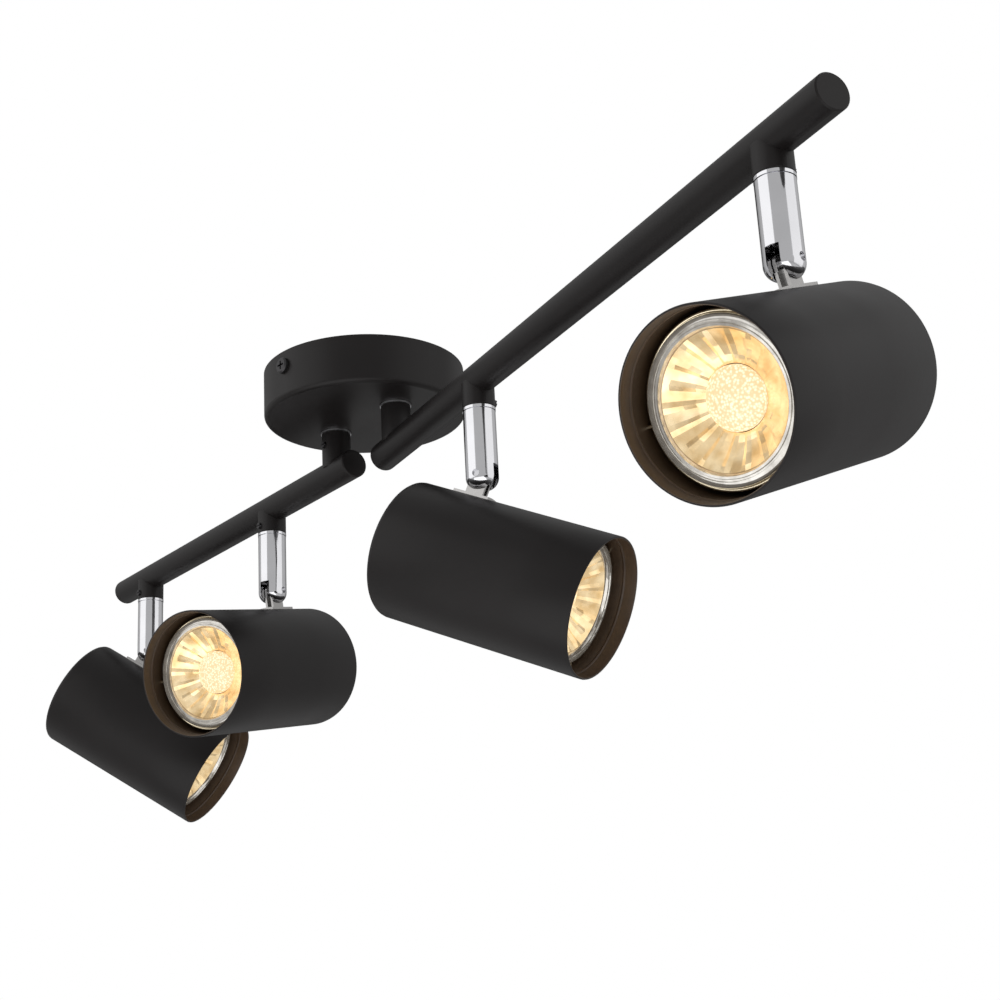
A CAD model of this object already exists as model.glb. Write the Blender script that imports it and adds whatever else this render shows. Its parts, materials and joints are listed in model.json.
"""Looks of a ceiling track light: black coated arms and shades, chrome swivels, lit reflector lamps."""

import json
import bpy
from math import atan2, cos, pi, radians, sin
from mathutils import Matrix, Vector


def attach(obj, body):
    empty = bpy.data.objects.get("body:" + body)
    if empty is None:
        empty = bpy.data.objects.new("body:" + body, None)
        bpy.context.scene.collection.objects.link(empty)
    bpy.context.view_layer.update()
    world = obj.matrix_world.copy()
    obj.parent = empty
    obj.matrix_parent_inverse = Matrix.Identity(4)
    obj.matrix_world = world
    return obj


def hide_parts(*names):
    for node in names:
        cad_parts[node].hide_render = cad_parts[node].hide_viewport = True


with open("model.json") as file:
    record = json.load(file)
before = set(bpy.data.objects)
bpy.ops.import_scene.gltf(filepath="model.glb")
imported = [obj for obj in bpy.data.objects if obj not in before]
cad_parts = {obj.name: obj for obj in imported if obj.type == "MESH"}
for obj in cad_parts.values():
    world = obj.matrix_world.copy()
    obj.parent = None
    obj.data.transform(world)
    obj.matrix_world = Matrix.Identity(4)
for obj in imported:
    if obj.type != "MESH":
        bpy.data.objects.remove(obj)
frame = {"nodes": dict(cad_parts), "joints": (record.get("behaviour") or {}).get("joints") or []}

bl_info = {
    "name": "Track light looks",
    "version": (1, 0, 0),
    "blender": (4, 5, 0),
    "location": "3D View > Sidebar > Track Light",
    "description": "Shades, lamps, finishes and the studio of a track light with four spot heads",
    "category": "Object",
}

HEADS = (1, 2, 3, 4)
ARMS = ("a", "b")
LOWEST_TILT = -15.0  # degrees, the tilt at a head's upper stop
SHADE_SIDES = 128
GLASS_SIDES = 96
LENS_SIDES = 64
POINTS_PER_RIB = 4
SHADED_SIDE = (-0.733, 0.681, 0.0)
SHADED_FROM, SHADED_TO = 0.55, 0.97
AIM = (0.02, -0.02, -0.06)
SOFT_LIGHTS = (  # name, place, width, height, power
    ("key_left", (-0.6, -1.3, 0.5), 1.8, 1.6, 7),
    ("fill_right", (1.4, 0.6, 0.2), 1.6, 1.8, 5),
    ("under_card", (0.2, -0.4, -0.8), 1.6, 1.6, 9))


class LookSettings(bpy.types.PropertyGroup):
    """Finishes and small sizes that a user would change."""

    coat: bpy.props.FloatVectorProperty(
        name="Coat colour", description="Colour of the powder coat", subtype="COLOR",
        size=3, min=0, max=1, default=(0.0085, 0.0071, 0.0070))
    coat_rough: bpy.props.FloatProperty(
        name="Coat roughness", description="Roughness of the powder coat", default=0.40, min=0, max=1)
    chrome: bpy.props.FloatVectorProperty(
        name="Chrome colour", description="Colour of the plated barrels", subtype="COLOR",
        size=3, min=0, max=1, default=(0.70, 0.70, 0.72))
    inside: bpy.props.FloatVectorProperty(
        name="Shade inside", description="Colour of the shades' inner wall", subtype="COLOR",
        size=3, min=0, max=1, default=(0.040, 0.022, 0.0105))
    glow: bpy.props.FloatVectorProperty(
        name="Lamp glow", description="Colour of the lit lens", subtype="COLOR",
        size=3, min=0, max=1, default=(1.0, 0.80, 0.50))
    glow_power: bpy.props.FloatProperty(
        name="Lamp power", description="Brightness of the lit lens", default=1.16, min=0, max=50)


class SizeSettings(bpy.types.PropertyGroup):
    """Sizes of the shades and lamps."""

    shade_radius: bpy.props.FloatProperty(
        name="Shade radius", description="Outer radius of a shade", default=0.028, unit="LENGTH")
    shade_length: bpy.props.FloatProperty(
        name="Shade length", description="Length of a shade", default=0.090, unit="LENGTH")
    shade_wall: bpy.props.FloatProperty(
        name="Shade wall", description="Thickness of a shade's wall", default=0.0009, unit="LENGTH")
    shade_back: bpy.props.FloatProperty(
        name="Shade back", description="Closed end, measured back from the pivot",
        default=0.022, unit="LENGTH")
    pivot_drop: bpy.props.FloatProperty(
        name="Pivot drop", description="From the pivot down to the shade's axis",
        default=0.0365, unit="LENGTH")
    recess: bpy.props.FloatProperty(
        name="Lamp recess", description="From the shade's rim to the lamp's front",
        default=0.009, unit="LENGTH")
    lamp_radius: bpy.props.FloatProperty(
        name="Lamp radius", description="Radius of the lamp's glass rim", default=0.0244, unit="LENGTH")
    rib_count: bpy.props.IntProperty(
        name="Reflector ribs", description="Number of pleats in the reflector", default=18, min=8, max=60)
    lens_radius: bpy.props.FloatProperty(
        name="Lens radius", description="Radius of the lit middle lens", default=0.0095, unit="LENGTH")


class StageSettings(bpy.types.PropertyGroup):
    """Camera, floor and light."""

    camera_place: bpy.props.FloatVectorProperty(
        name="Camera place", description="Where the camera stands", subtype="TRANSLATION",
        size=3, default=(0.5801, -0.4756, -0.3160))
    camera_turn: bpy.props.FloatVectorProperty(
        name="Camera turn", description="The camera's rotation", subtype="EULER",
        size=3, default=(radians(108.65), radians(2.91), radians(47.11)))
    focal: bpy.props.FloatProperty(
        name="Focal length", description="Focal length in millimetres on a 36 mm sensor", default=63.59)
    floor_level: bpy.props.FloatProperty(
        name="Floor level", description="Height of the floor", default=-0.9, unit="LENGTH")
    sky: bpy.props.FloatProperty(
        name="Surround", description="Brightness of the white surround", default=1.0, min=0, max=10)
    room_light: bpy.props.FloatProperty(
        name="Room light", description="Brightness of the room that lights the object",
        default=0.72, min=0, max=10)
    room_shade: bpy.props.FloatProperty(
        name="Room shade", description="Brightness of the room's shaded side", default=0.16, min=0, max=10)


def looks():
    return bpy.context.scene.track_looks


def sizes():
    return bpy.context.scene.track_sizes


# ---- material helpers ----
def blank_material(name):
    """A new node material, its shader and its node tree."""
    mat = bpy.data.materials.new(name)
    mat.use_nodes = True
    tree = mat.node_tree
    shader = next(n for n in tree.nodes if n.type == "BSDF_PRINCIPLED")
    return mat, tree, shader


def add_node(tree, kind, **values):
    """Adds a shader node and sets its properties or its inputs by name."""
    node = tree.nodes.new(kind)
    for key, value in values.items():
        if hasattr(node, key):
            setattr(node, key, value)
        else:
            node.inputs[key.replace("_", " ")].default_value = value
    return node


def object_noise(tree, scale, detail=3.0, rough=0.55):
    coords = add_node(tree, "ShaderNodeTexCoord")
    noise = add_node(tree, "ShaderNodeTexNoise", Scale=scale, Detail=detail, Roughness=rough)
    tree.links.new(coords.outputs["Object"], noise.inputs["Vector"])
    return noise


def two_tone(tree, noise, low, high, start=0.3, end=0.7):
    ramp = add_node(tree, "ShaderNodeValToRGB")
    ramp.color_ramp.elements[0].position = start
    ramp.color_ramp.elements[0].color = (*low, 1)
    ramp.color_ramp.elements[1].position = end
    ramp.color_ramp.elements[1].color = (*high, 1)
    tree.links.new(noise.outputs["Fac"], ramp.inputs["Fac"])
    return ramp


def vary_roughness(tree, shader, noise, low, high):
    spread = add_node(tree, "ShaderNodeMapRange")
    spread.inputs["To Min"].default_value = low
    spread.inputs["To Max"].default_value = high
    tree.links.new(noise.outputs["Fac"], spread.inputs["Value"])
    tree.links.new(spread.outputs["Result"], shader.inputs["Roughness"])


def relief(tree, shader, noise, strength, depth):
    bump = add_node(tree, "ShaderNodeBump")
    bump.inputs["Strength"].default_value = strength
    bump.inputs["Distance"].default_value = depth
    tree.links.new(noise.outputs["Fac"], bump.inputs["Height"])
    tree.links.new(bump.outputs["Normal"], shader.inputs["Normal"])


def scaled(colour, factor):
    return tuple(min(1.0, c * factor) for c in colour)


def powder_coat(name, colour, rough, grain=1500.0):
    """Satin powder coat: faint cloudiness and a fine grain."""
    mat, tree, shader = blank_material(name)
    cloud = object_noise(tree, 35.0, 4.0)
    tone = two_tone(tree, cloud, scaled(colour, 0.88), scaled(colour, 1.14))
    tree.links.new(tone.outputs["Color"], shader.inputs["Base Color"])
    vary_roughness(tree, shader, cloud, rough - 0.05, rough + 0.06)
    relief(tree, shader, object_noise(tree, grain, 2.0), 0.16, 0.00012)
    shader.inputs["Specular IOR Level"].default_value = 0.21
    return mat


def plated(name, colour, rough, streak=60.0):
    """Polished plate with the faintest change of gloss."""
    mat, tree, shader = blank_material(name)
    cloud = object_noise(tree, streak, 3.0)
    tone = two_tone(tree, cloud, scaled(colour, 0.93), colour)
    tree.links.new(tone.outputs["Color"], shader.inputs["Base Color"])
    shader.inputs["Metallic"].default_value = 1.0
    vary_roughness(tree, shader, cloud, rough, rough + 0.05)
    return mat


def turned_metal(name, colour, rough, scale=900.0):
    """Plain machined metal with fine tool marks."""
    mat, tree, shader = blank_material(name)
    cloud = object_noise(tree, 120.0, 4.0)
    tone = two_tone(tree, cloud, scaled(colour, 0.8), colour)
    tree.links.new(tone.outputs["Color"], shader.inputs["Base Color"])
    shader.inputs["Metallic"].default_value = 1.0
    vary_roughness(tree, shader, cloud, rough, rough + 0.15)
    relief(tree, shader, object_noise(tree, scale, 2.0), 0.12, 0.0001)
    return mat


def moulded(name, colour, rough, gloss=0.0):
    """Moulded plastic or glazed ceramic."""
    mat, tree, shader = blank_material(name)
    cloud = object_noise(tree, 90.0, 3.0)
    tone = two_tone(tree, cloud, scaled(colour, 0.93), colour)
    tree.links.new(tone.outputs["Color"], shader.inputs["Base Color"])
    vary_roughness(tree, shader, cloud, rough, rough + 0.08)
    relief(tree, shader, object_noise(tree, 500.0, 2.0), 0.06, 0.0001)
    shader.inputs["Coat Weight"].default_value = gloss
    return mat


def inner_wall(name, colour):
    """The shade's inner wall, warmed by the lamp."""
    mat, tree, shader = blank_material(name)
    cloud = object_noise(tree, 160.0, 4.0)
    tone = two_tone(tree, cloud, scaled(colour, 0.82), scaled(colour, 1.2))
    tree.links.new(tone.outputs["Color"], shader.inputs["Base Color"])
    vary_roughness(tree, shader, cloud, 0.42, 0.55)
    relief(tree, shader, object_noise(tree, 1400.0, 2.0), 0.15, 0.00012)
    return mat


def reflector_foil(name):
    """Bright warm reflector that catches the lamp's light."""
    mat, tree, shader = blank_material(name)
    cloud = object_noise(tree, 150.0, 2.0)
    tone = two_tone(tree, cloud, (0.66, 0.45, 0.21), (0.92, 0.74, 0.46), 0.32, 0.68)
    tree.links.new(tone.outputs["Color"], shader.inputs["Base Color"])
    tree.links.new(tone.outputs["Color"], shader.inputs["Emission Color"])
    shader.inputs["Metallic"].default_value = 0.85
    shader.inputs["Roughness"].default_value = 0.22
    shader.inputs["Emission Strength"].default_value = 0.36
    return mat


def rim_glass(name):
    """Thick clear glass of the lamp's rim, as a pale glossy shell."""
    mat, tree, shader = blank_material(name)
    cloud = object_noise(tree, 260.0, 2.0)
    tone = two_tone(tree, cloud, (0.40, 0.38, 0.35), (0.66, 0.64, 0.60))
    tree.links.new(tone.outputs["Color"], shader.inputs["Base Color"])
    shader.inputs["Metallic"].default_value = 0.75
    shader.inputs["Roughness"].default_value = 0.06
    shader.inputs["Coat Weight"].default_value = 1.0
    shader.inputs["Coat Roughness"].default_value = 0.03
    shader.inputs["Emission Color"].default_value = (1.0, 0.85, 0.62, 1)
    shader.inputs["Emission Strength"].default_value = 0.04
    return mat


def lit_lens(name, glow, power):
    """The pebbled middle lens with the light behind it."""
    mat, tree, shader = blank_material(name)
    coords = add_node(tree, "ShaderNodeTexCoord")
    cells = add_node(tree, "ShaderNodeTexVoronoi", Scale=1150.0)
    tree.links.new(coords.outputs["Object"], cells.inputs["Vector"])
    ramp = add_node(tree, "ShaderNodeValToRGB")
    ramp.color_ramp.elements[0].color = (1.0, 0.93, 0.76, 1)
    ramp.color_ramp.elements[1].color = (glow[0] * 0.72, glow[1] * 0.58, glow[2] * 0.46, 1)
    ramp.color_ramp.elements[1].position = 0.62
    tree.links.new(cells.outputs["Distance"], ramp.inputs["Fac"])
    tree.links.new(ramp.outputs["Color"], shader.inputs["Emission Color"])
    shader.inputs["Base Color"].default_value = (0.30, 0.24, 0.16, 1)
    shader.inputs["Roughness"].default_value = 0.3
    shader.inputs["Emission Strength"].default_value = power
    return mat


def dress(node, mat):
    """Gives a frame node its finish."""
    ob = frame["nodes"][node]
    if not ob.material_slots:
        ob.data.materials.append(mat)
    for place in ob.material_slots:
        place.material = mat


# ---- modelling helpers ----
def deselect():
    """Leaves edit mode and selects nothing."""
    if bpy.context.object and bpy.context.object.mode != "OBJECT":
        bpy.ops.object.mode_set(mode="OBJECT")
    bpy.ops.object.select_all(action="DESELECT")


def turned_shell(name, profile, steps, ring=False):
    """Turns a profile of (radius, height) about Z: a circle, extruded and resized point by point.

    A ring joins its last circle to its first. Other shells get a flat face over each open end.
    """
    deselect()
    radius, height = profile[0]
    bpy.ops.mesh.primitive_circle_add(
        vertices=steps, radius=radius, fill_type="NOTHING", location=(0, 0, 0))
    ob = bpy.context.object
    ob.name = name
    bpy.ops.object.mode_set(mode="EDIT")
    bpy.ops.mesh.select_all(action="SELECT")
    bpy.ops.transform.translate(value=(0, 0, height))
    for new_radius, new_height in profile[1:]:
        bpy.ops.mesh.extrude_region_move(TRANSFORM_OT_translate={"value": (0, 0, new_height - height)})
        bpy.ops.transform.resize(value=(new_radius / radius, new_radius / radius, 1))
        radius, height = new_radius, new_height
    bpy.ops.mesh.select_all(action="DESELECT")
    if ring:
        bpy.ops.mesh.select_non_manifold()
        bpy.ops.mesh.bridge_edge_loops()
    else:
        bpy.ops.mesh.select_non_manifold()
        bpy.ops.mesh.edge_face_add()
    bpy.ops.mesh.select_all(action="SELECT")
    bpy.ops.mesh.remove_doubles(threshold=1e-7)
    bpy.ops.mesh.normals_make_consistent(inside=False)
    bpy.ops.object.mode_set(mode="OBJECT")
    return ob


def select_points(ob, test):
    """Selects the points of ob that pass the test."""
    deselect()
    ob.select_set(True)
    bpy.context.view_layer.objects.active = ob
    for face in ob.data.polygons:
        face.select = False
    for edge in ob.data.edges:
        edge.select = False
    for vert in ob.data.vertices:
        vert.select = test(vert.co)


def head_place(number):
    """The place of a head's shade: Z along the beam from the closed end, X up."""
    joint = next(j for j in frame["joints"] if j["name"] == "tilt_%d" % number)
    tilt = radians(LOWEST_TILT - joint["range_deg"][0])
    side = Vector(joint["axis"]).normalized()
    level = Vector((side.y, -side.x, 0)).normalized()
    beam = level * cos(tilt) + Vector((0, 0, -sin(tilt)))
    up = level * sin(tilt) + Vector((0, 0, cos(tilt)))
    size = sizes()
    start = Vector(joint["pos_m"]) - up * size.pivot_drop - beam * size.shade_back
    turn = Matrix((up, beam.cross(up), beam)).transposed().to_4x4()
    return Matrix.Translation(start) @ turn


def put_copy(source, name, place, body, node):
    """A copy of source with its own mesh, set in place on a body."""
    copy = source.copy()
    copy.data = source.data.copy()
    copy.name = name
    bpy.context.collection.objects.link(copy)
    deselect()
    copy.select_set(True)
    bpy.context.view_layer.objects.active = copy
    copy.matrix_world = place
    bpy.ops.object.transform_apply(location=True, rotation=True, scale=True)
    if node:
        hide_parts(node)
    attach(copy, body)
    return copy


# ---- operators ----
class TRACK_OT_coated_parts(bpy.types.Operator):
    """Gives the canopy and the arms their black powder coat"""

    bl_idname = "track.coated_parts"
    bl_label = "Coat Canopy and Arms"

    def execute(self, context):
        look = looks()
        coat = powder_coat("black_powder_coat", look.coat, look.coat_rough)
        caps = powder_coat("end_cap_black", scaled(look.coat, 1.1), look.coat_rough + 0.04)
        screws = turned_metal("blackened_screw", (0.06, 0.058, 0.06), 0.35)
        dress("canopy_cover", coat)
        dress("canopy_side_screws", screws)
        for arm in ARMS:
            dress("arm_tube_" + arm, coat)
            dress("arm_post_" + arm, coat)
            dress("necks_" + arm, coat)
            dress("end_caps_" + arm, caps)
            dress("set_screws_" + arm, screws)
            dress("post_washer_" + arm, turned_metal("washer_steel", (0.5, 0.5, 0.51), 0.3))
        return {"FINISHED"}


class TRACK_OT_bright_parts(bpy.types.Operator):
    """Gives the swivels and knuckles their chrome and bright steel"""

    bl_idname = "track.bright_parts"
    bl_label = "Plate Swivels and Knuckles"

    def execute(self, context):
        look = looks()
        chrome = plated("barrel_chrome", look.chrome, 0.07)
        collar = plated("collar_chrome", scaled(look.chrome, 1.05), 0.05)
        knuckle = plated("knuckle_bright", (0.46, 0.45, 0.44), 0.2, 200.0)
        pin = turned_metal("pin_steel", (0.62, 0.62, 0.64), 0.2)
        wire = plated("ring_wire_bright", (0.95, 0.83, 0.60), 0.14)
        for k in HEADS:
            dress("barrel_%d" % k, chrome)
            dress("collar_ring_%d" % k, collar)
            dress("pivot_pin_%d" % k, pin)
            dress("knuckle_%d" % k, knuckle)
            dress("retaining_ring_%d" % k, wire)
        return {"FINISHED"}


class TRACK_OT_inner_parts(bpy.types.Operator):
    """Gives the strap, terminals, leads, nipples, nuts and lamp holders their finishes"""

    bl_idname = "track.inner_parts"
    bl_label = "Finish Inner Parts"

    def execute(self, context):
        zinc = turned_metal("zinc_plate", (0.66, 0.66, 0.63), 0.3)
        brass = turned_metal("plain_brass", (0.74, 0.55, 0.24), 0.25)
        dress("ceiling_strap", zinc)
        dress("terminal_block", moulded("terminal_nylon", (0.82, 0.80, 0.74), 0.45))
        dress("terminal_screws", brass)
        dress("earth_screw", brass)
        dress("canopy_leads", moulded("lead_sleeve", (0.78, 0.76, 0.72), 0.4))
        for arm in ARMS:
            dress("nipples_" + arm, brass)
            dress("nuts_" + arm, zinc)
        ceramic = moulded("holder_ceramic", (0.86, 0.85, 0.81), 0.18, 0.5)
        cup = turned_metal("lamp_cup_aluminium", (0.80, 0.76, 0.66), 0.25)
        for k in HEADS:
            dress("lamp_holder_%d" % k, ceramic)
            dress("lamp_body_%d" % k, cup)
        return {"FINISHED"}


class TRACK_OT_shades(bpy.types.Operator):
    """Turns the four shades with a rounded closed end, a soft rim and a bead inside"""

    bl_idname = "track.shades"
    bl_label = "Make Shades"

    def execute(self, context):
        look, size = looks(), sizes()
        r, length, wall = size.shade_radius, size.shade_length, size.shade_wall
        inner = r - wall
        profile = [
            (0.003, 0), (r - 0.002, 0), (r - 0.00124, 0.00015), (r - 0.00059, 0.00059),
            (r - 0.00015, 0.00124), (r, 0.002), (r, length * 0.35), (r, length * 0.7),
            (r, length - 0.0004), (r - 0.00012, length - 0.0001), (r - 0.00030, length),
            (inner + 0.0003, length), (inner + 0.0001, length - 0.0001), (inner, length - 0.0004),
            (inner, length - 0.0049), (inner - 0.0002, length - 0.0051), (inner - 0.00032, length - 0.0055),
            (inner - 0.0002, length - 0.0059), (inner, length - 0.0061), (inner, length * 0.6),
            (inner, wall + 0.001), (inner - 0.001, wall), (0.003, wall)]
        shade = turned_shell("shade_form", profile, SHADE_SIDES)
        shade.data.materials.append(powder_coat("shade_powder_coat", look.coat, look.coat_rough))
        shade.data.materials.append(inner_wall("shade_inner_wall", look.inside))
        for face in shade.data.polygons:
            across = Vector((face.center.x, face.center.y, 0))
            floor = face.normal.z > 0.5 and face.center.z < length * 0.5
            inwards = face.normal.dot(across) < -1e-6 or floor
            face.material_index = 1 if inwards else 0
        deselect()
        shade.select_set(True)
        bpy.context.view_layer.objects.active = shade
        bpy.ops.object.shade_smooth_by_angle(angle=radians(32))
        for k in HEADS:
            put_copy(shade, "spot_shade_%d" % k, head_place(k), "head_%d" % k,
                     "shade_%d" % k)
        bpy.data.objects.remove(shade)
        return {"FINISHED"}


class TRACK_OT_lamps(bpy.types.Operator):
    """Makes each lamp's glass rim, pleated reflector and lit middle lens"""

    bl_idname = "track.lamps"
    bl_label = "Make Lamps"

    def execute(self, context):
        look, size = looks(), sizes()
        front = size.shade_length - size.recess
        glass_depth, glass_width = 0.003, 0.0042
        rib_height, rib_edge = 0.0008, 0.0006
        seat = front - glass_depth
        rim = size.lamp_radius
        hole = rim - glass_width
        glass = turned_shell("glass_rim_form", [
            (rim, seat), (rim, front - 0.0010), (rim - 0.0003, front - 0.0003), (rim - 0.0010, front),
            (rim - 0.0019, front), (rim - 0.0021, front - 0.0005), (rim - 0.0026, front - 0.0005),
            (rim - 0.0028, front - 0.0001), (rim - 0.0035, front - 0.0001), (rim - 0.0038, front - 0.0006),
            (hole, front - 0.0016), (hole, seat)], GLASS_SIDES, ring=True)
        glass.data.materials.append(rim_glass("lamp_rim_glass"))
        steps = size.rib_count * POINTS_PER_RIB
        lens_r = size.lens_radius
        bowl = turned_shell("reflector_form", [
            (hole - 0.0001, front - 0.0014), (hole - 0.0017, front - 0.0030),
            (hole - 0.0048, front - 0.0056),
            (hole - 0.0078, front - 0.0076), (lens_r + 0.0003, front - 0.0088), (lens_r + 0.0003, front - 0.0096),
            (hole - 0.0040, front - 0.0066), (hole - 0.0001, front - 0.0028)], steps, ring=True)
        step_angle = 2 * pi / steps

        def ridge(co):
            index = round(atan2(co.y, co.x) / step_angle) % POINTS_PER_RIB
            radius = (co.x ** 2 + co.y ** 2) ** 0.5
            return index == 0 and lens_r + rib_edge < radius < hole - rib_edge

        select_points(bowl, ridge)
        bpy.ops.object.mode_set(mode="EDIT")
        bpy.ops.transform.translate(value=(0, 0, rib_height))
        bpy.ops.object.mode_set(mode="OBJECT")
        bowl.data.materials.append(reflector_foil("reflector_foil"))
        lens = turned_shell("lens_form", [
            (lens_r, front - 0.0092), (lens_r, front - 0.0078), (lens_r - 0.0004, front - 0.0072),
            (lens_r * 0.8, front - 0.0064), (lens_r * 0.55, front - 0.0058), (lens_r * 0.28, front - 0.0055),
            (lens_r * 0.05, front - 0.0054)], LENS_SIDES)
        lens.data.materials.append(lit_lens("lit_lens", look.glow, look.glow_power))
        for form, angle in ((glass, 30), (bowl, 8), (lens, 40)):
            deselect()
            form.select_set(True)
            bpy.context.view_layer.objects.active = form
            bpy.ops.object.shade_smooth_by_angle(angle=radians(angle))
        for k in HEADS:
            place, body = head_place(k), "head_%d" % k
            put_copy(glass, "lamp_glass_rim_%d" % k, place, body, "lamp_lens_%d" % k)
            put_copy(bowl, "lamp_reflector_%d" % k, place, body, None)
            put_copy(lens, "lamp_lit_lens_%d" % k, place, body, None)
        for form in (glass, bowl, lens):
            bpy.data.objects.remove(form)
        return {"FINISHED"}


def soft_light(name, place, target, width, height, power):
    data = bpy.data.lights.new(name, "AREA")
    data.shape = "RECTANGLE"
    data.size, data.size_y = width, height
    data.energy = power
    lamp = bpy.data.objects.new(name, data)
    lamp.location = place
    lamp.rotation_euler = (Vector(target) - Vector(place)).to_track_quat("-Z", "Y").to_euler()
    bpy.context.collection.objects.link(lamp)


class TRACK_OT_stage(bpy.types.Operator):
    """Sets the floor, the white surround, the soft lights and the camera"""

    bl_idname = "track.stage"
    bl_label = "Set Stage"

    def execute(self, context):
        scene = context.scene
        stage = scene.track_stage
        scene.view_settings.view_transform = "Standard"
        scene.view_settings.look = "None"
        world = bpy.data.worlds.new("white_surround")
        world.use_nodes = True
        tree = world.node_tree
        back = next(n for n in tree.nodes if n.type == "BACKGROUND")
        back.inputs["Color"].default_value = (1, 1, 1, 1)
        back.inputs["Strength"].default_value = stage.sky
        out = next(n for n in tree.nodes if n.type == "OUTPUT_WORLD")
        around = add_node(tree, "ShaderNodeTexCoord")
        side = add_node(tree, "ShaderNodeVectorMath", operation="DOT_PRODUCT")
        side.inputs[1].default_value = SHADED_SIDE
        fade = add_node(tree, "ShaderNodeMapRange")
        fade.inputs["From Min"].default_value = SHADED_FROM
        fade.inputs["From Max"].default_value = SHADED_TO
        fade.inputs["To Min"].default_value = stage.room_light
        fade.inputs["To Max"].default_value = stage.room_shade
        room = add_node(tree, "ShaderNodeBackground")
        seen = add_node(tree, "ShaderNodeLightPath")
        both = add_node(tree, "ShaderNodeMixShader")
        tree.links.new(around.outputs["Generated"], side.inputs[0])
        tree.links.new(side.outputs["Value"], fade.inputs["Value"])
        tree.links.new(fade.outputs["Result"], room.inputs["Strength"])
        tree.links.new(seen.outputs["Is Camera Ray"], both.inputs[0])
        tree.links.new(room.outputs["Background"], both.inputs[1])
        tree.links.new(back.outputs["Background"], both.inputs[2])
        tree.links.new(both.outputs["Shader"], out.inputs["Surface"])
        scene.world = world
        deselect()
        bpy.ops.mesh.primitive_plane_add(size=6, location=(0, 0, stage.floor_level))
        floor = context.object
        floor.name = "pale_floor"
        bpy.ops.object.transform_apply(location=True, rotation=False, scale=False)
        floor.data.materials.append(moulded("floor_paper", (0.86, 0.86, 0.86), 0.8))
        for name, place, width, height, power in SOFT_LIGHTS:
            soft_light(name, place, AIM, width, height, power)
        data = bpy.data.cameras.new("view_camera")
        data.lens = stage.focal
        data.sensor_width = 36
        data.clip_start = 0.01
        camera = bpy.data.objects.new("view_camera", data)
        camera.location = stage.camera_place
        camera.rotation_euler = stage.camera_turn
        context.collection.objects.link(camera)
        scene.camera = camera
        return {"FINISHED"}


class TRACK_PT_looks(bpy.types.Panel):
    """Lists the steps of the track light's looks"""

    bl_label = "Track Light"
    bl_idname = "TRACK_PT_looks"
    bl_space_type = "VIEW_3D"
    bl_region_type = "UI"
    bl_category = "Track Light"

    def draw(self, context):
        layout = self.layout
        for group in (context.scene.track_looks, context.scene.track_sizes, context.scene.track_stage):
            box = layout.box()
            for key in group.bl_rna.properties.keys():
                if key not in {"rna_type", "name"}:
                    box.prop(group, key)
        for step in STEPS:
            layout.operator(step.bl_idname)


STEPS = (TRACK_OT_coated_parts, TRACK_OT_bright_parts, TRACK_OT_inner_parts,
         TRACK_OT_shades, TRACK_OT_lamps, TRACK_OT_stage)
CLASSES = (LookSettings, SizeSettings, StageSettings) + STEPS + (TRACK_PT_looks,)


def register():
    for cls in CLASSES:
        bpy.utils.register_class(cls)
    bpy.types.Scene.track_looks = bpy.props.PointerProperty(type=LookSettings)
    bpy.types.Scene.track_sizes = bpy.props.PointerProperty(type=SizeSettings)
    bpy.types.Scene.track_stage = bpy.props.PointerProperty(type=StageSettings)


def unregister():
    del bpy.types.Scene.track_stage
    del bpy.types.Scene.track_sizes
    del bpy.types.Scene.track_looks
    for cls in reversed(CLASSES):
        bpy.utils.unregister_class(cls)


def main():
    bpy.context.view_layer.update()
    register()
    bpy.ops.track.coated_parts()
    bpy.ops.track.bright_parts()
    bpy.ops.track.inner_parts()
    bpy.ops.track.shades()
    bpy.ops.track.lamps()
    bpy.ops.track.stage()


if __name__ == "__main__":
    main()
